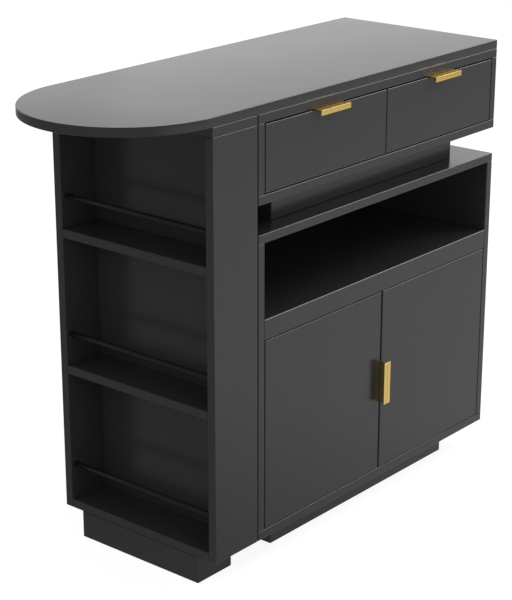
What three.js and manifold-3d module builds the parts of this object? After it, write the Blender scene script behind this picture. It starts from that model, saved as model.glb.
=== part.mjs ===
// Bar counter: a round-ended worktop over an open shelf tower, a drawer case and a cupboard with a niche.
// Millimetres, +Z up, fronts facing -Y, shelf tower at the -X end, origin under the middle of the object.
import * as THREE from "three";
import { ConvexGeometry } from "three/addons/geometries/ConvexGeometry.js";
import { mergeVertices } from "three/addons/utils/BufferGeometryUtils.js";
import Module from "manifold-3d";

// Overall layout
const DEPTH = 400;
const TOWER_WIDTH = 122;
const TOWER_GAP = 2;
const CABINET_WIDTH = 776;
const PLINTH_HEIGHT = 56;
const CABINET_HEIGHT = 616;
const RISER_HEIGHT = 56;
const CASE_HEIGHT = 169;

// Boards: thickness, chamfer on their edges, and clearance of a piece that is let into another
const BOARD = 18;
const EDGE_EASE = 1;
const FIT = 0.25;

// Worktop
const WORKTOP_THICKNESS = 18;
const WORKTOP_EDGE_RADIUS = 2;

// Plinths and riser: boards set back from the fronts, the backs and the ends
const PLINTH_BOARD = 18;
const PLINTH_SETBACK = 46;
const PLINTH_END_SETBACK = 92;
const TOWER_PLINTH_SETBACK = 25;

// Shelf tower: rises between top faces, place of the back panel, and the guard rails
const LOWER_SHELF_RISE = 288;
const UPPER_SHELF_RISE = 278;
const TOWER_BACK_SETBACK = 14;
const RAIL_DIAMETER = 10;
const RAIL_SETBACK = 14;
const RAIL_RISE_FLOOR = 73;
const RAIL_RISE_SHELF = 62;
const RAIL_SOCKET_DEPTH = 8;

// Niche
const NICHE_HEIGHT = 149;
const APRON_HEIGHT = 41;

// Edge pulls: an angle section with a seat on the board's edge and a lip turned over in front
const PULL_LENGTH = 90;
const PULL_PROJECTION = 18;
const PULL_LIP = 10;
const PULL_GAUGE = 2;
const PULL_EASE = 0.5;
const PULL_SEAT = 14;
const PULL_GAP = 0.5;

// Doors and their concealed pivots
const DOOR_SIDE_GAP = 2;
const DOOR_END_GAP = 1.5;
const PIVOT_INSET = 25;
const PIVOT_DIAMETER = 8;
const PIVOT_DEPTH = 12;
const PIVOT_COLLAR = 14;
const PIVOT_EASE = 0.5;

// Magnetic catch behind the meeting doors
const CATCH_WIDTH = 46;
const CATCH_DEPTH = 14;
const CATCH_DROP = 16;
const CATCH_FLANGE_HEIGHT = 20;
const CATCH_FLANGE_THICKNESS = 3;

// Drawers
const DRAWER_SIDE_GAP = 2;
const DRAWER_BOTTOM_GAP = 2;
const DRAWER_BOARD = 12;
const DRAWER_HEIGHT = 100;
const DRAWER_RISE = 8;
const DRAWER_FLOOR = 6;
const GROOVE_DEPTH = 6;
const GROOVE_RISE = 10;

// Telescopic slides: nested channels that run on balls
const SLIDE_HEIGHT = 36;
const SLIDE_WIDTH = 12.5;
const SLIDE_GAUGE = 1.25;
const SLIDE_BEND = 2;
const SLIDE_RACE = 0.5;
const SLIDE_FRONT_ROOM = 2;
const SLIDE_REAR_ROOM = 12;

// Sides of the round pieces and steps of the curved edges
const ROUND_SIDES = 16;
const WORKTOP_ARC_STEPS = 64;
const EDGE_STEPS = 3;
const BEND_STEPS = 3;

// Levels that follow from the sizes above, counted from the tower's end face, the fronts and the floor
const cabinetLeft = TOWER_WIDTH + TOWER_GAP;
const cabinetRight = cabinetLeft + CABINET_WIDTH;
const cabinetMiddle = (cabinetLeft + cabinetRight) / 2;
const cabinetInnerLeft = cabinetLeft + BOARD;
const cabinetInnerRight = cabinetRight - BOARD;
const innerRear = DEPTH - BOARD;
const cabinetTop = PLINTH_HEIGHT + CABINET_HEIGHT;
const caseBase = cabinetTop + RISER_HEIGHT;
const caseTop = caseBase + CASE_HEIGHT;
const worktopRadius = DEPTH / 2;

const lacquer = new THREE.MeshStandardMaterial({ color: 0x242526, roughness: 0.42, metalness: 0 });
const brass = new THREE.MeshStandardMaterial({ color: 0xd9ae5c, roughness: 0.3, metalness: 1 });
const steel = new THREE.MeshStandardMaterial({ color: 0xb9bcc0, roughness: 0.35, metalness: 1 });
const plywood = new THREE.MeshStandardMaterial({ color: 0x2c2c2d, roughness: 0.6, metalness: 0 });
const nylon = new THREE.MeshStandardMaterial({ color: 0x3a3a3c, roughness: 0.55, metalness: 0 });

// Everything hangs in one group, which moves the layout's corner to the middle of the object's foot.
const counter = new THREE.Group();
const layout = new THREE.Group();
layout.position.set(-(cabinetRight - worktopRadius) / 2, -(DEPTH - PULL_PROJECTION) / 2, 0);
counter.add(layout);

function place(name, geometry, material) {
  const mesh = new THREE.Mesh(geometry, material);
  mesh.name = name;
  layout.add(mesh);
  return mesh;
}

// A box with every edge chamfered is the hull of three points at each corner.
function easedBox(width, depth, height, ease) {
  const half = [width / 2, depth / 2, height / 2];
  const signs = [-1, 1];
  const points = [];
  for (const x of signs)
    for (const y of signs)
      for (const z of signs)
        for (const flush of [0, 1, 2]) {
          const [px, py, pz] = half.map((reach, axis) => (axis === flush ? reach : reach - ease));
          points.push(new THREE.Vector3(x * px, y * py, z * pz));
        }
  return new ConvexGeometry(points);
}

// A board fills the span between two corners.
function board(name, [x0, x1], [y0, y1], [z0, z1], material = lacquer) {
  const mesh = place(name, easedBox(x1 - x0, y1 - y0, z1 - z0, EDGE_EASE), material);
  mesh.position.set((x0 + x1) / 2, (y0 + y1) / 2, (z0 + z1) / 2);
  return mesh;
}

// A plain box of the same kind, used as a cutting tool.
function blockTool([x0, x1], [y0, y1], [z0, z1]) {
  const mesh = new THREE.Mesh(new THREE.BoxGeometry(x1 - x0, y1 - y0, z1 - z0));
  mesh.position.set((x0 + x1) / 2, (y0 + y1) / 2, (z0 + z1) / 2);
  return mesh;
}

// A round tool along Y for rail sockets, or along Z for pivot bores.
function roundTool(radius, length, alongZ) {
  const mesh = new THREE.Mesh(new THREE.CylinderGeometry(radius, radius, length, ROUND_SIDES));
  if (alongZ) mesh.rotation.x = Math.PI / 2;
  return mesh;
}

const wasm = await Module();
wasm.setup();

function solidOf(mesh) {
  mesh.updateMatrix();
  const shape = mesh.geometry.clone().deleteAttribute("normal").deleteAttribute("uv");
  const merged = mergeVertices(shape.applyMatrix4(mesh.matrix));
  return new wasm.Manifold(
    new wasm.Mesh({
      numProp: 3,
      vertProperties: merged.attributes.position.array,
      triVerts: new Uint32Array(merged.index.array),
    }),
  );
}

// Cuts the tools out of a placed mesh, whose geometry then lies in the layout's own frame.
function cut(mesh, tools) {
  const result = tools.reduce((solid, tool) => solid.subtract(solidOf(tool)), solidOf(mesh)).getMesh();
  const geometry = new THREE.BufferGeometry();
  geometry.setAttribute("position", new THREE.BufferAttribute(result.vertProperties, 3));
  geometry.setIndex(new THREE.BufferAttribute(result.triVerts, 1));
  mesh.geometry = geometry.toNonIndexed();
  mesh.geometry.computeVertexNormals();
  mesh.position.set(0, 0, 0);
}

// The turn that carries a section drawn in X and Y, extruded along Z, to a run along X.
const RUN_ALONG_X = new THREE.Quaternion(0.5, 0.5, 0.5, 0.5);

// Worktop: straight at the right, a half circle at the left, with softly rounded edges.
function worktop() {
  const outline = new THREE.Shape();
  outline.moveTo(cabinetRight, 0);
  outline.lineTo(cabinetRight, DEPTH);
  outline.absarc(0, worktopRadius, worktopRadius, Math.PI / 2, (3 * Math.PI) / 2, false);
  outline.closePath();
  const geometry = new THREE.ExtrudeGeometry(outline, {
    depth: WORKTOP_THICKNESS - 2 * WORKTOP_EDGE_RADIUS,
    curveSegments: WORKTOP_ARC_STEPS,
    bevelEnabled: true,
    bevelThickness: WORKTOP_EDGE_RADIUS,
    bevelSize: WORKTOP_EDGE_RADIUS,
    bevelOffset: -WORKTOP_EDGE_RADIUS,
    bevelSegments: EDGE_STEPS,
  });
  place("worktop", geometry, lacquer).position.z = caseTop + WORKTOP_EDGE_RADIUS;
}

// Plinths and riser are glued-up frames of four boards on edge.
function boardFrame(name, [x0, x1], [z0, z1]) {
  const y0 = PLINTH_SETBACK;
  const y1 = DEPTH - PLINTH_SETBACK;
  const frame = board(name, [x0, x1], [y0, y1], [z0, z1]);
  const hollow = blockTool(
    [x0 + PLINTH_BOARD, x1 - PLINTH_BOARD],
    [y0 + PLINTH_BOARD, y1 - PLINTH_BOARD],
    [z0 - PLINTH_BOARD, z1 + PLINTH_BOARD],
  );
  cut(frame, [hollow]);
}

// A round bar along Y with chamfered ends.
function guardRail(name, z) {
  const radius = RAIL_DIAMETER / 2;
  const end = innerRear - BOARD + 2 * (RAIL_SOCKET_DEPTH - FIT);
  const profile = [
    new THREE.Vector2(0, 0),
    new THREE.Vector2(radius - EDGE_EASE, 0),
    new THREE.Vector2(radius, EDGE_EASE),
    new THREE.Vector2(radius, end - EDGE_EASE),
    new THREE.Vector2(radius - EDGE_EASE, end),
    new THREE.Vector2(0, end),
  ];
  const rail = place(name, new THREE.LatheGeometry(profile, ROUND_SIDES), lacquer);
  rail.position.set(RAIL_SETBACK, BOARD - RAIL_SOCKET_DEPTH + FIT, z);
}

// Shelf tower: an open case that faces -X, with a rail in front of each floor.
function shelfTower() {
  const width = [0, TOWER_WIDTH];
  const topPanel = caseTop - BOARD;
  const floor = PLINTH_HEIGHT + BOARD;
  const lowerShelf = floor + LOWER_SHELF_RISE;
  const upperShelf = lowerShelf + UPPER_SHELF_RISE;
  const backRear = TOWER_WIDTH - TOWER_BACK_SETBACK;
  const backFace = backRear - BOARD;
  const between = [BOARD, innerRear];
  const railLevels = [
    floor + RAIL_RISE_FLOOR,
    lowerShelf + RAIL_RISE_SHELF,
    upperShelf + RAIL_RISE_SHELF,
  ];

  board("tower_top_panel", width, [0, DEPTH], [topPanel, caseTop]);
  const sides = [
    board("tower_front_side", width, [0, BOARD], [PLINTH_HEIGHT, topPanel]),
    board("tower_rear_side", width, [innerRear, DEPTH], [PLINTH_HEIGHT, topPanel]),
  ];
  const sockets = railLevels.map((level) => {
    const reach = innerRear - BOARD + 2 * RAIL_SOCKET_DEPTH;
    const socket = roundTool(RAIL_DIAMETER / 2 + FIT, reach, false);
    socket.position.set(RAIL_SETBACK, DEPTH / 2, level);
    return socket;
  });
  for (const side of sides) cut(side, sockets);

  board("tower_bottom_board", [0, backFace], between, [PLINTH_HEIGHT, floor]);
  board("tower_lower_shelf", [0, backFace], between, [lowerShelf - BOARD, lowerShelf]);
  board("tower_upper_shelf", [0, backFace], between, [upperShelf - BOARD, upperShelf]);
  board("tower_back_panel", [backFace, backRear], between, [PLINTH_HEIGHT, topPanel]);
  guardRail("lower_guard_rail", railLevels[0]);
  guardRail("middle_guard_rail", railLevels[1]);
  guardRail("upper_guard_rail", railLevels[2]);
  boardFrame("tower_plinth", [0, TOWER_WIDTH - TOWER_PLINTH_SETBACK], [0, PLINTH_HEIGHT]);
}

// Levels inside the cupboard unit
const cupboardFloor = PLINTH_HEIGHT + BOARD;
const nicheRoof = cabinetTop - BOARD;
const nicheFloor = nicheRoof - NICHE_HEIGHT;
const apronBase = nicheFloor - APRON_HEIGHT;

// Places of the door pivots, at half the door's thickness
const pivotLeft = cabinetInnerLeft + DOOR_SIDE_GAP + PIVOT_INSET;
const pivotRight = cabinetInnerRight - DOOR_SIDE_GAP - PIVOT_INSET;
const pivotY = BOARD / 2;

function pivotBore(x, level, depth) {
  const bore = roundTool(PIVOT_DIAMETER / 2 + FIT, 2 * depth, true);
  bore.position.set(x, pivotY, level);
  return bore;
}

// Cupboard unit: a case with an open niche above an apron rail, on a set-back plinth.
function cupboardUnit() {
  const width = [cabinetLeft, cabinetRight];
  const inside = [cabinetInnerLeft, cabinetInnerRight];
  const footprint = [cabinetLeft + PLINTH_END_SETBACK, cabinetRight - PLINTH_END_SETBACK];
  const boreDepth = PIVOT_DEPTH + FIT;

  boardFrame("cabinet_plinth", footprint, [0, PLINTH_HEIGHT]);
  const bottom = board("cabinet_bottom_panel", width, [0, DEPTH], [PLINTH_HEIGHT, cupboardFloor]);
  cut(bottom, [
    pivotBore(pivotLeft, cupboardFloor, boreDepth),
    pivotBore(pivotRight, cupboardFloor, boreDepth),
  ]);
  board("cabinet_left_side", [cabinetLeft, cabinetInnerLeft], [0, DEPTH], [cupboardFloor, nicheRoof]);
  board("cabinet_right_side", [cabinetInnerRight, cabinetRight], [0, DEPTH], [cupboardFloor, nicheRoof]);
  board("cabinet_back_panel", inside, [innerRear, DEPTH], [cupboardFloor, nicheRoof]);
  // The niche floor is glued behind the apron rail with square edges, so that no groove shows between them.
  const floor = board("niche_floor", inside, [0, innerRear], [nicheFloor - BOARD, nicheFloor]);
  cut(floor, [blockTool(width, [-BOARD, BOARD], [cupboardFloor, cabinetTop])]);
  const apron = board("apron_rail", inside, [0, 2 * BOARD], [apronBase, nicheFloor]);
  cut(apron, [
    blockTool(width, [BOARD, DEPTH], [cupboardFloor, cabinetTop]),
    pivotBore(pivotLeft, apronBase, boreDepth),
    pivotBore(pivotRight, apronBase, boreDepth),
  ]);
  board("cabinet_top_panel", width, [0, DEPTH], [nicheRoof, cabinetTop]);
  boardFrame("riser_frame", footprint, [cabinetTop, caseBase]);
}

// Section of an edge pull: Y is up from the seat, X runs back from the front face.
function pullSection() {
  const front = -PULL_PROJECTION;
  const inner = front + PULL_GAUGE;
  const foot = PULL_GAUGE - PULL_LIP;
  const section = new THREE.Shape();
  section.moveTo(PULL_SEAT, 0);
  section.lineTo(PULL_SEAT, PULL_GAUGE);
  section.absarc(front + PULL_EASE, PULL_GAUGE - PULL_EASE, PULL_EASE, Math.PI / 2, Math.PI, false);
  section.absarc(front + PULL_EASE, foot + PULL_EASE, PULL_EASE, Math.PI, (3 * Math.PI) / 2, false);
  section.absarc(inner - PULL_EASE, foot + PULL_EASE, PULL_EASE, (3 * Math.PI) / 2, 2 * Math.PI, false);
  section.lineTo(inner, 0);
  section.closePath();
  return section;
}

function edgePull(name) {
  const geometry = new THREE.ExtrudeGeometry(pullSection(), {
    depth: PULL_LENGTH,
    curveSegments: BEND_STEPS,
    bevelEnabled: false,
  });
  return place(name, geometry.translate(0, 0, -PULL_LENGTH / 2), brass);
}

// A pivot pin stands half in the case and half in the door, with a thin collar in the gap between them.
function doorPivot(name, x, gapMiddle) {
  const radius = PIVOT_DIAMETER / 2;
  const end = DOOR_END_GAP / 2 + PIVOT_DEPTH;
  const collar = DOOR_END_GAP / 2 - FIT;
  const half = [
    new THREE.Vector2(PIVOT_COLLAR / 2, collar),
    new THREE.Vector2(radius, collar),
    new THREE.Vector2(radius, end - PIVOT_EASE),
    new THREE.Vector2(radius - PIVOT_EASE, end),
    new THREE.Vector2(0, end),
  ];
  const lowerHalf = half.map((point) => new THREE.Vector2(point.x, -point.y)).reverse();
  const pin = place(name, new THREE.LatheGeometry([...lowerHalf, ...half], ROUND_SIDES), steel);
  pin.rotation.x = Math.PI / 2;
  pin.position.set(x, pivotY, gapMiddle);
}

// Two flush doors between the cupboard's floor and the apron rail, with their pulls back to back.
function doors() {
  const base = cupboardFloor + DOOR_END_GAP;
  const head = apronBase - DOOR_END_GAP;
  const middle = (base + head) / 2;
  const meeting = PULL_GAP / 2 + PULL_GAUGE;
  const edgeLeft = cabinetMiddle - meeting;
  const edgeRight = cabinetMiddle + meeting;
  const boreDepth = PIVOT_DEPTH + FIT;
  const spans = [
    { hand: "left", across: [cabinetInnerLeft + DOOR_SIDE_GAP, edgeLeft], pivot: pivotLeft },
    { hand: "right", across: [edgeRight, cabinetInnerRight - DOOR_SIDE_GAP], pivot: pivotRight },
  ];
  for (const { hand, across, pivot } of spans) {
    const door = board(hand + "_door", across, [0, BOARD], [base, head]);
    cut(door, [pivotBore(pivot, base, boreDepth), pivotBore(pivot, head, boreDepth)]);
    doorPivot(hand + "_bottom_pivot", pivot, cupboardFloor + DOOR_END_GAP / 2);
    doorPivot(hand + "_top_pivot", pivot, apronBase - DOOR_END_GAP / 2);
  }

  const leftPull = edgePull("left_door_pull");
  leftPull.quaternion.set(Math.SQRT1_2, Math.SQRT1_2, 0, 0);
  leftPull.position.set(edgeLeft, 0, middle);
  const rightPull = edgePull("right_door_pull");
  rightPull.quaternion.set(0, 0, Math.SQRT1_2, Math.SQRT1_2);
  rightPull.position.set(edgeRight, 0, middle);
}

// The catch hangs on the back of the apron rail and reaches down behind both doors.
function magneticCatch() {
  const flange = CATCH_FLANGE_THICKNESS;
  const section = new THREE.Shape();
  section.moveTo(FIT, -CATCH_DROP);
  section.lineTo(CATCH_DEPTH - flange, -CATCH_DROP);
  section.lineTo(CATCH_DEPTH, flange - CATCH_DROP);
  section.lineTo(CATCH_DEPTH, 0);
  section.lineTo(2 * flange, flange);
  section.lineTo(flange, 2 * flange);
  section.lineTo(flange, CATCH_FLANGE_HEIGHT);
  section.lineTo(0, CATCH_FLANGE_HEIGHT);
  section.lineTo(0, EDGE_EASE);
  section.lineTo(FIT, 0);
  section.closePath();
  const geometry = new THREE.ExtrudeGeometry(section, { depth: CATCH_WIDTH, bevelEnabled: false });
  const mesh = place("magnetic_catch", geometry.translate(0, 0, -CATCH_WIDTH / 2), nylon);
  mesh.quaternion.copy(RUN_ALONG_X);
  mesh.position.set(cabinetMiddle, BOARD, apronBase);
}

// Drawer case, with a divider that stands behind the meeting drawer fronts.
const caseFloor = caseBase + BOARD;
const caseRoof = caseTop - BOARD;
const dividerLeft = cabinetMiddle - BOARD / 2;
const dividerRight = cabinetMiddle + BOARD / 2;

function drawerCase() {
  const width = [cabinetLeft, cabinetRight];
  const between = [caseFloor, caseRoof];
  board("case_bottom_panel", width, [0, DEPTH], [caseBase, caseFloor]);
  board("case_left_side", [cabinetLeft, cabinetInnerLeft], [0, DEPTH], between);
  board("case_right_side", [cabinetInnerRight, cabinetRight], [0, DEPTH], between);
  board("case_back_panel", [cabinetInnerLeft, cabinetInnerRight], [innerRear, DEPTH], between);
  board("case_divider", [dividerLeft, dividerRight], [BOARD + SLIDE_FRONT_ROOM, innerRear], between);
  board("case_top_panel", width, [0, DEPTH], [caseRoof, caseTop]);
}

// Section of a channel that lies on X = back and opens towards X = mouth.
function channelSection(back, mouth, halfHeight) {
  const turn = Math.sign(mouth - back);
  const inside = back + turn * SLIDE_GAUGE;
  const outer = SLIDE_BEND;
  const inner = SLIDE_BEND - SLIDE_GAUGE;
  const hollow = halfHeight - SLIDE_GAUGE;
  const section = new THREE.Shape();
  const from = turn > 0 ? Math.PI : 0;
  const clockwise = turn < 0;
  const quarter = (turn * Math.PI) / 2;
  section.moveTo(mouth, -hollow);
  section.absarc(inside + turn * inner, inner - hollow, inner, from + quarter, from, !clockwise);
  section.absarc(inside + turn * inner, hollow - inner, inner, from, from - quarter, !clockwise);
  section.lineTo(mouth, hollow);
  section.lineTo(mouth, halfHeight);
  section.absarc(back + turn * outer, halfHeight - outer, outer, from - quarter, from, clockwise);
  section.absarc(back + turn * outer, outer - halfHeight, outer, from, from + quarter, clockwise);
  section.lineTo(mouth, -halfHeight);
  section.closePath();
  return section;
}

// One telescopic slide: channels nested from the case wall at X = wall towards the drawer.
function telescopicSlide(name, wall, towards, level) {
  const race = SLIDE_GAUGE + SLIDE_RACE;
  const rim = SLIDE_WIDTH - race;
  const half = SLIDE_HEIGHT / 2;
  const members = [
    { label: "outer", back: 0, mouth: rim, halfHeight: half },
    { label: "middle", back: race, mouth: rim, halfHeight: half - race },
    { label: "inner", back: SLIDE_WIDTH, mouth: 2 * race, halfHeight: half - 2 * race },
  ];
  const front = BOARD + SLIDE_FRONT_ROOM;
  const length = innerRear - SLIDE_REAR_ROOM - front;
  for (const { label, back, mouth, halfHeight } of members) {
    const section = channelSection(wall + towards * back, wall + towards * mouth, halfHeight);
    const geometry = new THREE.ExtrudeGeometry(section, {
      depth: length,
      curveSegments: BEND_STEPS,
      bevelEnabled: false,
    });
    const mesh = place(name + "_" + label + "_slide", geometry, steel);
    mesh.rotation.x = Math.PI / 2;
    mesh.position.set(0, front + length, level);
  }
}

// Side of a drawer box: a board along Y with a groove for the floor in its inner face.
function drawerSide(name, outerFace, inward, base, length) {
  const grooveBase = base + GROOVE_RISE;
  const grooveTop = grooveBase + DRAWER_FLOOR + 2 * FIT;
  const face = outerFace + inward * DRAWER_BOARD;
  const across = [Math.min(outerFace, face), Math.max(outerFace, face)];
  const along = [BOARD, BOARD + length];
  const side = board(name, across, along, [base, base + DRAWER_HEIGHT], plywood);
  const groove = [face - GROOVE_DEPTH, face + GROOVE_DEPTH];
  cut(side, [blockTool(groove, [0, DEPTH], [grooveBase, grooveTop])]);
}

// A drawer: flush front, two grooved sides, back, floor, pull and a slide on each side.
function drawer(hand, wallLeft, wallRight, frontLeft, frontRight) {
  const frontBase = caseFloor + DRAWER_BOTTOM_GAP;
  const frontHead = caseRoof - PULL_GAP - PULL_GAUGE;
  const base = frontBase + DRAWER_RISE;
  const length = innerRear - SLIDE_REAR_ROOM - BOARD;
  const rear = BOARD + length;
  const outerLeft = wallLeft + SLIDE_WIDTH;
  const outerRight = wallRight - SLIDE_WIDTH;
  const innerLeft = outerLeft + DRAWER_BOARD;
  const innerRight = outerRight - DRAWER_BOARD;
  const floorBase = base + GROOVE_RISE + FIT;
  const floorTop = floorBase + DRAWER_FLOOR;
  const tongue = GROOVE_DEPTH - FIT;
  const floorAcross = [innerLeft - tongue, innerRight + tongue];
  const slideLevel = base + DRAWER_HEIGHT / 2;

  const front = board(hand + "_drawer_front", [frontLeft, frontRight], [0, BOARD], [frontBase, frontHead]);
  const groove = blockTool(
    [innerLeft - GROOVE_DEPTH, innerRight + GROOVE_DEPTH],
    [BOARD - GROOVE_DEPTH, BOARD + GROOVE_DEPTH],
    [floorBase - FIT, floorTop + FIT],
  );
  cut(front, [groove]);
  drawerSide(hand + "_drawer_left_side", outerLeft, 1, base, length);
  drawerSide(hand + "_drawer_right_side", outerRight, -1, base, length);
  board(
    hand + "_drawer_back",
    [innerLeft, innerRight],
    [rear - DRAWER_BOARD, rear],
    [floorTop + FIT, base + DRAWER_HEIGHT],
    plywood,
  );
  board(hand + "_drawer_floor", floorAcross, [BOARD - tongue, rear], [floorBase, floorTop], plywood);

  const pull = edgePull(hand + "_drawer_pull");
  pull.quaternion.copy(RUN_ALONG_X);
  pull.position.set((frontLeft + frontRight) / 2, 0, frontHead);

  telescopicSlide(hand + "_drawer_left", wallLeft, 1, slideLevel);
  telescopicSlide(hand + "_drawer_right", wallRight, -1, slideLevel);
}

worktop();
shelfTower();
cupboardUnit();
doors();
magneticCatch();
drawerCase();
drawer(
  "left",
  cabinetInnerLeft,
  dividerLeft,
  cabinetInnerLeft + DRAWER_SIDE_GAP,
  cabinetMiddle - DRAWER_SIDE_GAP / 2,
);
drawer(
  "right",
  dividerRight,
  cabinetInnerRight,
  cabinetMiddle + DRAWER_SIDE_GAP / 2,
  cabinetInnerRight - DRAWER_SIDE_GAP,
);

export default counter;
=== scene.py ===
# %% [markdown]
# # A bar counter with shelves
# The counter is a round-ended worktop on an open shelf tower, a drawer case and a cupboard with a niche. All of it
# is satin black lacquer, with brass pulls bent from strip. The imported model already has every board, slide and
# pivot at its real size, so this script only gives the surfaces their finish, remakes the pieces whose roundness
# shows, adds the small hardware, and sets up the studio. The frame comes first, because all else is placed by it.

import math

import bpy
import numpy as np
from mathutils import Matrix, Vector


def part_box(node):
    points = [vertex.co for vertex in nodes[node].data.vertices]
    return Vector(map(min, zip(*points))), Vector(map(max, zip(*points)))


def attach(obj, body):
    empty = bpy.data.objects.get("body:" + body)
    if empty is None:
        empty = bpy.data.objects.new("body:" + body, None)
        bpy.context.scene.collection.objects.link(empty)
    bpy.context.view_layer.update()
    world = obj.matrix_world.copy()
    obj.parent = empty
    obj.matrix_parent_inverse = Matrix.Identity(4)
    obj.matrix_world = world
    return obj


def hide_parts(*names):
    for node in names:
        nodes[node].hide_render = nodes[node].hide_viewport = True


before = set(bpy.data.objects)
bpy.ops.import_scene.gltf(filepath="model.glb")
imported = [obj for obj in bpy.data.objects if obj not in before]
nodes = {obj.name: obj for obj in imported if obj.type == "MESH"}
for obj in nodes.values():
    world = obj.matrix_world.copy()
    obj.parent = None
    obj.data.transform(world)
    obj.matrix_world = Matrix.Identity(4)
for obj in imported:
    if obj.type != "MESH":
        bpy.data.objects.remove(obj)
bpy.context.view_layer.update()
scene = bpy.context.scene

# %% [markdown]
# ## The camera
# The picture was taken from the front left corner, a little above the worktop. A camera has a focal length in
# pixels, which Blender wants in millimetres of a 36 mm wide sensor laid along the longer side of the picture.

# %% Camera
PICTURE = (512, 600)
FOCAL_PIXELS = 1778.35
CAMERA_PLACE = (-2.5875, -2.1655, 1.6361)
CAMERA_TURN = (70.561, 0.0, -50.015)

camera = bpy.data.objects.new("camera", bpy.data.cameras.new("camera"))
scene.collection.objects.link(camera)
scene.camera = camera
camera.data.lens = FOCAL_PIXELS / max(PICTURE) * camera.data.sensor_width
camera.location = CAMERA_PLACE
camera.rotation_euler = [math.radians(turn) for turn in CAMERA_TURN]
print("lens", round(camera.data.lens, 2), "mm")

# %% [markdown]
# ## Building a shader in few lines
# A finish is a small graph of nodes. Setting each socket by hand takes many lines, so two helpers do it: where they
# are given a socket of another node they make a link, and anything else becomes a value.


# %% Node helpers
def fill(tree, node, sockets):
    """Fills input sockets by name: a socket of another node becomes a link, anything else a value."""
    for name, value in sockets.items():
        if isinstance(value, bpy.types.NodeSocket):
            tree.links.new(value, node.inputs[name])
        else:
            node.inputs[name].default_value = value


def add_node(tree, kind, sockets=None, **settings):
    """Adds a node, sets its properties from settings, and fills its input sockets."""
    node = tree.nodes.new(kind)
    for name, value in settings.items():
        setattr(node, name, value)
    fill(tree, node, sockets or {})
    return node


# %% [markdown]
# ## The studio
# The object stands on a pale floor, with a white screen behind it. A camera ray that misses everything sees plain
# white, and the rays that only light the object see an even room. A mirrored ray sees the white screen where it
# stands, and the dim studio elsewhere: it is this dark that gives the rails and the recesses their black. Light
# Path tells these rays apart, and the ray's own direction tells where the screen is.


# %% Helpers for rays
def pick(tree, operation, first, second):
    """The larger or the smaller of two sockets, as operation says."""
    node = add_node(tree, "ShaderNodeMath", operation=operation)
    tree.links.new(first, node.inputs[0])
    tree.links.new(second, node.inputs[1])
    return node.outputs["Value"]


def rays(tree):
    """Two sockets: the first is 1 for a ray from the camera, the second for a mirrored or a refracted ray."""
    path = add_node(tree, "ShaderNodeLightPath").outputs
    bent = pick(tree, "MAXIMUM", path["Is Glossy Ray"], path["Is Transmission Ray"])
    return path["Is Camera Ray"], bent


def share_of(tree, vector, way):
    """How far a vector goes along way: their dot product."""
    product = add_node(tree, "ShaderNodeVectorMath", operation="DOT_PRODUCT")
    tree.links.new(vector, product.inputs[0])
    product.inputs[1].default_value = way
    return product.outputs["Value"]


def spread(tree, value, low, high, start, end):
    """Stretches the range from start to end over low to high."""
    sockets = {"Value": value, "From Min": start, "From Max": end, "To Min": low, "To Max": high}
    return add_node(tree, "ShaderNodeMapRange", sockets).outputs["Result"]


def between(tree, share, low, high):
    """Low where the share is 0, and high where it is 1."""
    return spread(tree, share, low, high, 0.0, 1.0)


# %% World
ROOM_LIGHT = 0.58
STUDIO_DIM = 0.14
SCREEN_WAY = (0.764, 0.645, 0.0)
SCREEN_EDGE = (0.35, 0.75)

world = bpy.data.worlds.new("white_room")
scene.world = world
world.use_nodes = True
room = world.node_tree
towards = share_of(room, add_node(room, "ShaderNodeTexCoord").outputs["Object"], SCREEN_WAY)
screen = spread(room, towards, STUDIO_DIM, 1.0, *SCREEN_EDGE)
looked_at, mirrored = rays(room)
unseen = between(room, mirrored, ROOM_LIGHT, screen)
white = between(room, looked_at, unseen, 1.0)
fill(room, room.nodes["Background"], {"Color": (1.0, 1.0, 1.0, 1.0), "Strength": white})
print("room light", ROOM_LIGHT)

# %% [markdown]
# ## The floor
# The floor is pale paint and keeps the object's shadow. Where the camera looks straight at it, it is lifted towards
# white. Lacquer and brass mirror mostly the floor: a painted pool of light lies on its right half and painted shade
# on its left half, so the fronts come out lighter than the ends. This painted pool is an emission seen only by
# mirrored rays. It is a ramp across the floor along POOL_WAY, and a second, longer ramp lets it fade again far off.

# %% Floor
FLOOR_HALF = 9.0

corners = FLOOR_HALF * np.array([(-1, -1, 0), (1, -1, 0), (1, 1, 0), (-1, 1, 0)])
floor_mesh = bpy.data.meshes.new("floor")
floor_mesh.from_pydata(corners, [], [(0, 1, 2, 3)])
floor = bpy.data.objects.new("floor", floor_mesh)
scene.collection.objects.link(floor)
print("floor", 2 * FLOOR_HALF, "m square")

# %% Floor paint
FLOOR_LIFT = 0.72
FLOOR_GLOW = 1.25
POOL_WAY = (0.94, -0.34, 0.0)
POOL_EDGE = (-0.50, 0.70)
POOL_LEVEL = (0.19, 0.68)
FADE_EDGE = (1.6, 5.5)
FADE_LEVEL = 0.45
POOL_SHARE = 0.95


def new_finish(name):
    """A material with one Principled shader; returns the material, its tree, its shader and Object coordinates."""
    material = bpy.data.materials.new(name)
    material.use_nodes = True
    tree = material.node_tree
    where = add_node(tree, "ShaderNodeTexCoord").outputs["Object"]
    return material, tree, tree.nodes["Principled BSDF"], where


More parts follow.
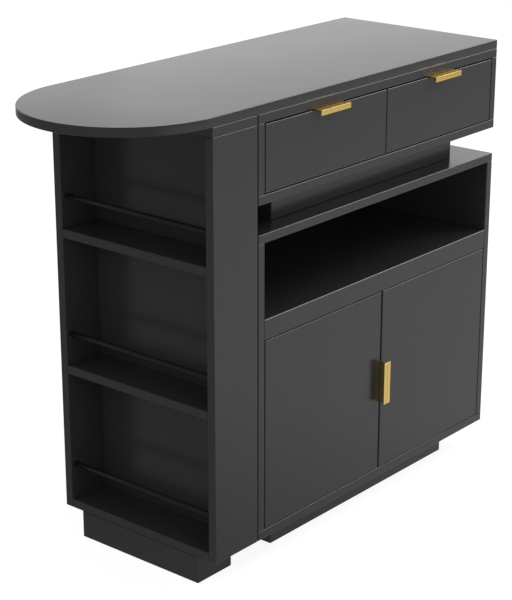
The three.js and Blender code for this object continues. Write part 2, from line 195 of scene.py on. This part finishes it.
paint, tree, surface, where = new_finish("floor_paint")
fill(tree, surface, {"Base Color": (0.8, 0.8, 0.8, 1.0), "Roughness": 0.9, "Specular IOR Level": 0.1})
# painted pool of light and painted shade: an emission ramp for mirrored rays, bright at the right, dim at the left,
# fading far off
along = share_of(tree, where, POOL_WAY)
near = spread(tree, along, *POOL_LEVEL, *POOL_EDGE)
far = spread(tree, along, POOL_LEVEL[1], FADE_LEVEL, *FADE_EDGE)
painted_pool = pick(tree, "MINIMUM", near, far)
looked_at, mirrored = rays(tree)
glow = add_node(tree, "ShaderNodeEmission", {"Strength": between(tree, looked_at, painted_pool, FLOOR_GLOW)})
lift = between(tree, looked_at, between(tree, mirrored, 0.0, POOL_SHARE), FLOOR_LIFT)
mixed = add_node(tree, "ShaderNodeMixShader", {"Fac": lift})
tree.links.new(surface.outputs["BSDF"], mixed.inputs[1])
tree.links.new(glow.outputs["Emission"], mixed.inputs[2])
tree.links.new(mixed.outputs["Shader"], tree.nodes["Material Output"].inputs["Surface"])
floor_mesh.materials.append(paint)
print("floor paint:", len(tree.nodes), "nodes")

# %% [markdown]
# ## The lamps
# Four soft panels. The main one stands high at the right, where the small chamfers on the upper edges of the boards
# mirror it as thin bright lines. A weak one in front of the screen adds a sheen to the worktop, which is seen at a
# flat angle. The other two only put a little light into the open shelves and the niche, and leave no reflection.
# Lamps hide from the camera.

# %% Lamps
# Each lamp's place, target, size and watts, and whether the surfaces mirror it.
LAMPS = {
    "main_panel": ((2.95, -1.3, 3.05), (0.1, -0.3, 0.4), (2.2, 2.2), 72.0, True),
    "sheen_panel": ((3.5, 1.9, 2.3), (0.1, 0.0, 0.9), (3.0, 2.0), 3.0, True),
    "shelf_fill": ((-3.0, -0.4, 2.4), (-0.3, 0.0, 0.5), (1.6, 1.6), 7.0, False),
    "niche_fill": ((-1.2, -3.8, 1.5), (0.1, 0.0, 0.6), (1.6, 1.6), 22.0, False),
}


def lamp(name, place, target, size, watts, is_mirrored):
    """A rectangular soft panel at place that faces target."""
    data = bpy.data.lights.new(name, "AREA")
    data.shape = "RECTANGLE"
    data.size, data.size_y = size
    data.energy = watts
    panel = bpy.data.objects.new(name, data)
    scene.collection.objects.link(panel)
    panel.location = place
    aim = Vector(target) - Vector(place)
    panel.rotation_euler = aim.to_track_quat("-Z", "Y").to_euler()
    panel.visible_camera = False
    panel.visible_glossy = is_mirrored


for name, setting in LAMPS.items():
    lamp(name, *setting)
print("lamps:", list(LAMPS))

# %% [markdown]
# ## Noise for the finishes
# No real surface is quite even. Each finish below varies its colour, its sheen or its relief by a noise, which is
# worked out from the place on the object and needs no picture file. A noise seldom leaves its middle range, so that
# range alone is stretched over the two colours or the two roughnesses of a finish.

# %% Noise helpers
NOISE_MIDDLE = (0.3, 0.7)


def noise(tree, where, scale, detail):
    """A noise with about scale lumps to a unit of length, and detail finer layers."""
    sockets = {"Vector": where, "Scale": scale, "Detail": detail}
    return add_node(tree, "ShaderNodeTexNoise", sockets).outputs["Fac"]


def vary(tree, value, low, high):
    """A noise's middle range stretched over low to high."""
    return spread(tree, value, low, high, *NOISE_MIDDLE)


def shade(tree, value, dark, light):
    """Turns a noise into a colour between two near ones."""
    ramp = add_node(tree, "ShaderNodeValToRGB", {"Fac": value})
    for element, position, colour in zip(ramp.color_ramp.elements, NOISE_MIDDLE, (dark, light)):
        element.position = position
        element.color = (*colour, 1.0)
    return ramp.outputs["Color"]


def bump(tree, height, strength, depth):
    """A normal that leans where the height climbs; depth is in metres."""
    sockets = {"Height": height, "Strength": strength, "Distance": depth}
    return add_node(tree, "ShaderNodeBump", sockets).outputs["Normal"]


# %% [markdown]
# ## Black lacquer
# Sprayed satin lacquer is a near-black film with a clear gloss. Its own colour is only about three hundredths of
# white, so the tone of a panel comes mostly from its gloss. Up close the film has a fine orange peel and faint
# specks, and over a whole panel the sheen drifts a little. Three noises at those three scales give that, all on
# Object coordinates.

# %% Lacquer
lacquer, tree, surface, where = new_finish("black_lacquer")
drift = noise(tree, where, scale=7.0, detail=4.0)
specks = noise(tree, where, scale=160.0, detail=3.0)
peel = noise(tree, where, scale=480.0, detail=2.0)
fill(tree, surface, {
    "Base Color": shade(tree, specks, dark=(0.0265, 0.0265, 0.0270), light=(0.0295, 0.0295, 0.0300)),
    "Roughness": vary(tree, drift, low=0.215, high=0.235),
    "Normal": bump(tree, peel, strength=0.03, depth=0.0002),
    "IOR": 1.5,
})
print("lacquer:", len(tree.nodes), "nodes")

# %% [markdown]
# ## Powder-coated rail
# The guard rails are steel bars with a powder coat, which is blacker than the lacquer and has a coarser, pebbled
# skin. One noise at the size of the pebbles gives the colour, the sheen and the relief together.

# %% Rail coat
rail_coat, tree, surface, where = new_finish("black_rail_coat")
pebble = noise(tree, where, scale=700.0, detail=2.0)
fill(tree, surface, {
    "Base Color": shade(tree, pebble, dark=(0.007, 0.007, 0.0072), light=(0.011, 0.011, 0.0113)),
    "Roughness": vary(tree, pebble, low=0.34, high=0.46),
    "Normal": bump(tree, pebble, strength=0.15, depth=0.0003),
})
print("rail coat:", len(tree.nodes), "nodes")

# %% [markdown]
# ## Brushed brass
# The pulls are brushed along their length before they are bent. The streaks follow the strip, so they read the
# piece's own UV map: one direction runs round the section and the other along the pull, both in metres. A noise
# stretched a hundred times along the pull becomes the brush marks. Seen at a flat angle, lacquered brass turns
# brown rather than white, and the specular tint does that.


# %% Brass
def stretch(tree, where, scale):
    """Coordinates times scale: a noise on them is drawn out along the axis whose scale is small."""
    return add_node(tree, "ShaderNodeMapping", {"Vector": where, "Scale": scale}).outputs["Vector"]


brass, tree, surface, where = new_finish("brushed_brass")
strip = add_node(tree, "ShaderNodeTexCoord").outputs["UV"]
streak = noise(tree, stretch(tree, strip, (5200.0, 45.0, 1.0)), scale=1.0, detail=3.0)
cloud = noise(tree, where, scale=60.0, detail=3.0)
fill(tree, surface, {
    "Base Color": shade(tree, cloud, dark=(0.96, 0.70, 0.25), light=(1.0, 0.75, 0.29)),
    "Roughness": vary(tree, streak, low=0.28, high=0.40),
    "Normal": bump(tree, streak, strength=0.12, depth=0.0001),
    "Metallic": 1.0,
    "Specular Tint": (0.85, 0.57, 0.30, 1.0),
})
print("brass:", len(tree.nodes), "nodes")

# %% [markdown]
# ## Zinc, nylon and foil
# What shows only when the counter is open: bright zinc on the drawer slides and pivots, matt nylon on the catch,
# and a dark foil with a faint grain on the drawer boxes. The zinc has a cloudy bloom and fine rolling marks along
# Y, the direction in which the slides are rolled.

# %% Hardware finishes
zinc, tree, surface, where = new_finish("bright_zinc")
roll = noise(tree, stretch(tree, where, (2600.0, 30.0, 2600.0)), scale=1.0, detail=2.0)
bloom = noise(tree, where, scale=45.0, detail=4.0)
fill(tree, surface, {
    "Base Color": shade(tree, bloom, dark=(0.50, 0.51, 0.53), light=(0.60, 0.61, 0.62)),
    "Roughness": vary(tree, roll, low=0.24, high=0.40),
    "Metallic": 1.0,
})

nylon, tree, surface, where = new_finish("matt_nylon")
spark = noise(tree, where, scale=1500.0, detail=2.0)
fill(tree, surface, {
    "Base Color": shade(tree, spark, dark=(0.026, 0.026, 0.028), light=(0.034, 0.034, 0.036)),
    "Roughness": vary(tree, spark, low=0.50, high=0.62),
})

foil, tree, surface, where = new_finish("dark_foil")
grain = noise(tree, stretch(tree, where, (140.0, 6.0, 140.0)), scale=4.0, detail=5.0)
fill(tree, surface, {
    "Base Color": shade(tree, grain, dark=(0.024, 0.024, 0.025), light=(0.038, 0.037, 0.037)),
    "Roughness": vary(tree, grain, low=0.50, high=0.62),
    "Normal": bump(tree, grain, strength=0.2, depth=0.0002),
})
print("finishes:", [finish.name for finish in (lacquer, rail_coat, brass, zinc, nylon, foil)])

# %% [markdown]
# ## Dressing the boards
# The solids of the model stay as they are, and each gets the finish of its material. Their meshes are loose
# triangles, so a Weld joins them, a planar Decimate turns each flat side into one face again, and a Bevel rounds
# the edges of the chamfers, which then catch the light as a sprayed edge does. The niche floor and the apron rail
# before it are glued edge to edge, so they stay as they are: rounded edges would show as a groove.

# %% Finishes and soft edges of the solids
FINISH_OF = {
    "_pull": brass,
    "_slide": zinc,
    "_pivot": zinc,
    "_catch": nylon,
    "_rail": rail_coat,
    "drawer_left_side": foil,
    "drawer_right_side": foil,
    "drawer_back": foil,
    "drawer_floor": foil,
}
GLUED = ("niche_floor", "apron_rail")
WELD_REACH = 1e-5
FLAT_WITHIN = 1
FILLET = 0.0004
FILLET_FROM = 30


def finish_of(name):
    """The finish whose ending the solid's name has, or lacquer. The apron rail is a board."""
    ends = [finish for end, finish in FINISH_OF.items() if name.endswith(end)]
    return lacquer if name == "apron_rail" or not ends else ends[0]


def round_edges(piece, name, width, least_turn):
    """A bevel of two steps on the edges where the surface turns by more than least_turn degrees."""
    edge = piece.modifiers.new(name, "BEVEL")
    edge.width = width
    edge.segments = 2
    edge.limit_method = "ANGLE"
    edge.angle_limit = math.radians(least_turn)


def soften(piece):
    """Rounds a solid's edges by modifiers only."""
    piece.modifiers.new("joined", "WELD").merge_threshold = WELD_REACH
    flat = piece.modifiers.new("flat_sides", "DECIMATE")
    flat.decimate_type = "DISSOLVE"
    flat.angle_limit = math.radians(FLAT_WITHIN)
    round_edges(piece, "soft_edges", FILLET, FILLET_FROM)


for name, solid in nodes.items():
    solid.data.materials.clear()
    solid.data.materials.append(finish_of(name))
    if finish_of(name) in (lacquer, foil) and name not in GLUED:
        soften(solid)
print("boards softened:", sum(len(solid.modifiers) > 0 for solid in nodes.values()))

# %% [markdown]
# ## One way to make every new piece
# Each new piece is a profile carried along a path: an array of rings, each with the same number of points. Quads
# join neighbouring rings, and the first and the last ring are closed by a flat cap. The order of the points makes
# the faces point outwards: a ring turns anticlockwise as seen from the side that the rings advance to.

# %% Ring skin
SHARP_FROM = 50


def ring_piece(name, rings, finish, slot, body, *replaced):
    """Skins rings[i, j] with quads between i, i + 1 and j, j + 1, flat caps at both ends, and a UV in metres."""
    count, around = rings.shape[:2]
    index = np.arange(count * around).reshape(count, around)
    beside = np.roll(index, -1, axis=1)
    quads = np.stack([index[:-1], beside[:-1], beside[1:], index[1:]], axis=-1).reshape(-1, 4)
    caps = [index[0, ::-1].tolist(), index[-1].tolist()]
    mesh = bpy.data.meshes.new(name)
    mesh.from_pydata(rings.reshape(-1, 3), [], quads.tolist() + caps)
    smooth = np.ones(len(mesh.polygons), bool)
    smooth[-len(caps):] = False
    mesh.polygons.foreach_set("use_smooth", smooth)
    mesh.set_sharp_from_angle(angle=math.radians(SHARP_FROM))

    step_round = np.linalg.norm(np.diff(rings, axis=1, prepend=rings[:, :1]), axis=2).cumsum(axis=1)
    step_along = np.linalg.norm(np.diff(rings, axis=0, prepend=rings[:1]), axis=2).cumsum(axis=0)
    corner = np.empty(len(mesh.loops), np.int32)
    mesh.loops.foreach_get("vertex_index", corner)
    uv = np.stack([step_round.ravel()[corner], step_along.ravel()[corner]], axis=1)
    mesh.uv_layers.new(name="strip").data.foreach_set("uv", uv.astype(np.float32).ravel())

    mesh.materials.append(finish)
    piece = bpy.data.objects.new(name, mesh)
    scene.collection.objects.link(piece)
    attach(piece, body)
    if replaced:
        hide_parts(*replaced)
    print(name, "has", len(mesh.polygons), "faces")
    return piece


# %% [markdown]
# ## The worktop
# The worktop is one board with a half-round end and a small radius all round its edge. Its outline is drawn a
# radius inside, with a direction outwards at each point; a corner is one point whose direction turns. A level of
# the edge is then the inner outline moved outwards by the radius times the cosine, and up by the sine.

# %% Worktop
EDGE_RADIUS = 0.002
END_STEPS = 180
CORNER_STEPS = 6
ROUND_STEPS = 10


def arc(centre, radius, start, end, steps):
    """Points on a circle: the centre plus the radius times (cos, sin) of an angle that goes from start to end."""
    angle = np.radians(np.linspace(start, end, steps + 1))
    return np.asarray(centre) + radius * np.stack([np.cos(angle), np.sin(angle)], axis=1)


def box_of(node):
    """Lowest and highest corner of a solid as arrays."""
    return [np.array(corner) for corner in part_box(node)]


def worktop_rings(low, high):
    """The inner outline, moved outwards by the radius times the cosine of a level, and up by its sine."""
    end_radius = (high[1] - low[1]) / 2
    middle_y = (high[1] + low[1]) / 2
    inner_end = end_radius - EDGE_RADIUS
    turn = np.radians(np.concatenate([
        np.linspace(90, 270, END_STEPS + 1),
        np.linspace(270, 360, CORNER_STEPS + 1),
        np.linspace(0, 90, CORNER_STEPS + 1),
    ]))
    outwards = np.stack([np.cos(turn), np.sin(turn), np.zeros_like(turn)], axis=1)
    point = np.arange(len(turn))
    on_end = point <= END_STEPS
    at_front = point <= END_STEPS + CORNER_STEPS + 1
    inner_x = np.where(on_end, low[0] + end_radius + inner_end * np.cos(turn), high[0] - EDGE_RADIUS)
    inner_y = np.where(on_end, inner_end * np.sin(turn), np.where(at_front, -inner_end, inner_end))
    inner = np.stack([inner_x, middle_y + inner_y, np.zeros_like(turn)], axis=1)
    levels = np.concatenate([
        arc((0, low[2] + EDGE_RADIUS), EDGE_RADIUS, -90, 0, ROUND_STEPS),
        arc((0, high[2] - EDGE_RADIUS), EDGE_RADIUS, 0, 90, ROUND_STEPS),
    ])
    rings = inner + levels[:, :1, None] * outwards
    rings[:, :, 2] = levels[:, 1:]
    return rings


rings = worktop_rings(*box_of("worktop"))
ring_piece("worktop_board", rings, lacquer, "black_lacquer", "carcass", "worktop")

# %% [markdown]
# ## The guard rails
# A round bar shows its facets at once when light runs along it, so each rail is remade as a fine tube: a circle
# carried along Y, whose radius shrinks at both ends for the chamfer that enters the socket.

# %% Guard rails
RAIL_SIDES = 48
RAIL_CHAMFER = 0.001


def bar_rings(low, high):
    """A circle carried along Y: the centre plus the radius times (sin, cos) of a full turn, smaller at the ends."""
    centre, radius = (low + high) / 2, (high[0] - low[0]) / 2
    turn = np.linspace(0, 2 * np.pi, RAIL_SIDES, endpoint=False)
    along = np.array([low[1], low[1] + RAIL_CHAMFER, high[1] - RAIL_CHAMFER, high[1]])
    radii = np.array([radius - RAIL_CHAMFER, radius, radius, radius - RAIL_CHAMFER])
    rings = np.empty((len(along), RAIL_SIDES, 3))
    rings[:, :, 0] = centre[0] + radii[:, None] * np.sin(turn)
    rings[:, :, 1] = along[:, None]
    rings[:, :, 2] = centre[2] + radii[:, None] * np.cos(turn)
    return rings


for shelf in ("lower", "middle", "upper"):
    rings = bar_rings(*box_of(shelf + "_guard_rail"))
    ring_piece(shelf + "_rail_bar", rings, rail_coat, "black_rail", "carcass", shelf + "_guard_rail")

# %% [markdown]
# ## The pulls
# A pull is an angle of brass: a plate that sits on the board's edge, and a lip turned over in front. Its section is
# drawn once from the solid's own box, with the first number running back and the second away from the seat, and
# carried along the pull. The outer corners are eased, and a fine bevel takes the bite off the two cut ends.

# %% Edge pulls
GAUGE = 0.002
PULL_EASE = 0.0005
EASE_STEPS = 6
END_FILLET = 0.0003
END_FILLET_FROM = 60
BACK = np.array([0.0, 1.0, 0.0])
AWAY_FROM_SEAT = {
    "left_drawer": (0.0, 0.0, 1.0),
    "right_drawer": (0.0, 0.0, 1.0),
    "left_door": (1.0, 0.0, 0.0),
    "right_door": (-1.0, 0.0, 0.0),
}


def pull_rings(node, away):
    """The pull's section in the plane of BACK and away, carried along their cross product."""
    run = np.cross(BACK, away)
    span = np.array(box_of(node))
    front, rear = np.sort(span @ BACK)
    foot, top = np.sort(span @ away)
    start, end = np.sort(span @ run)
    lip_rear, plate_low = front + GAUGE, top - GAUGE
    section = np.concatenate([
        [(rear, plate_low), (rear, top)],
        arc((front + PULL_EASE, top - PULL_EASE), PULL_EASE, 90, 180, EASE_STEPS),
        arc((front + PULL_EASE, foot + PULL_EASE), PULL_EASE, 180, 270, EASE_STEPS),
        arc((lip_rear - PULL_EASE, foot + PULL_EASE), PULL_EASE, 270, 360, EASE_STEPS),
        [(lip_rear, plate_low)],
    ])
    flat = section[:, :1] * BACK + section[:, 1:] * away
    return flat + np.array([start, end])[:, None, None] * run


for body, away in AWAY_FROM_SEAT.items():
    rings = pull_rings(body + "_pull", np.array(away))
    strip_piece = ring_piece(body + "_strip", rings, brass, "brass_pull", body, body + "_pull")
    round_edges(strip_piece, "cut_ends", END_FILLET, END_FILLET_FROM)

# %% [markdown]
# ## The screws of the slides
# The inner member of each slide is screwed to the drawer box with three pan-head screws, and two of them show as
# soon as the drawer is open. A head is a height over radius and angle: a low dome, sunk where the driver's cross
# goes in. Its circles, from the rim to the middle, are rings like those of the other pieces, so the same skin
# closes them.

# %% Slide screws
SLIDE_GAUGE = 0.00125
SCREW_PLACES = {"front": 0.035, "middle": 0.130, "rear": 0.300}
HEAD_RADIUS = 0.0034
HEAD_HEIGHT = 0.0016
RIM_SHARE = 0.4
MIDDLE_SHARE = 0.02
CROSS_REACH = 0.0020
CROSS_HALF_WIDTH = 0.0005
CROSS_WALL = 0.0002
CROSS_DEPTH = 0.0009
HEAD_SIDES = 64
HEAD_RINGS = 24


def head_rings(seat, out):
    """A dome: the rim's height plus the root of one minus the squared share of the radius, less the cross."""
    share = np.concatenate([[1.0], np.linspace(1.0, MIDDLE_SHARE, HEAD_RINGS)])[:, None]
    turn = np.linspace(0, 2 * np.pi, HEAD_SIDES, endpoint=False)
    across, up = HEAD_RADIUS * share * np.cos(turn), HEAD_RADIUS * share * np.sin(turn)
    thin, far = np.sort(np.abs([across, up]), axis=0)
    in_width = np.clip((CROSS_HALF_WIDTH - thin) / CROSS_WALL, 0, 1)
    in_reach = np.clip((CROSS_REACH - far) / CROSS_WALL, 0, 1)
    dome = HEAD_HEIGHT * (RIM_SHARE + (1 - RIM_SHARE) * np.sqrt(1 - share**2))
    rise = dome - CROSS_DEPTH * in_width * in_reach
    rise[0] = 0.0
    return np.asarray(seat) + np.stack([out * rise, out * across, up], axis=-1)


for drawer in ("left_drawer", "right_drawer"):
    for side, out in (("left", -1.0), ("right", 1.0)):
        low, high = box_of(drawer + "_" + side + "_inner_slide")
        web = high[0] - SLIDE_GAUGE if side == "left" else low[0] + SLIDE_GAUGE
        for place, along in SCREW_PLACES.items():
            rings = head_rings((web, low[1] + along, (low[2] + high[2]) / 2), out)
            ring_piece("_".join([drawer, side, place, "screw"]), rings, zinc, "slide_steel", drawer)

# %% [markdown]
# ## The view transform
# Blender's view transform is set to Standard.

# %% View transform
scene.view_settings.view_transform = "Standard"
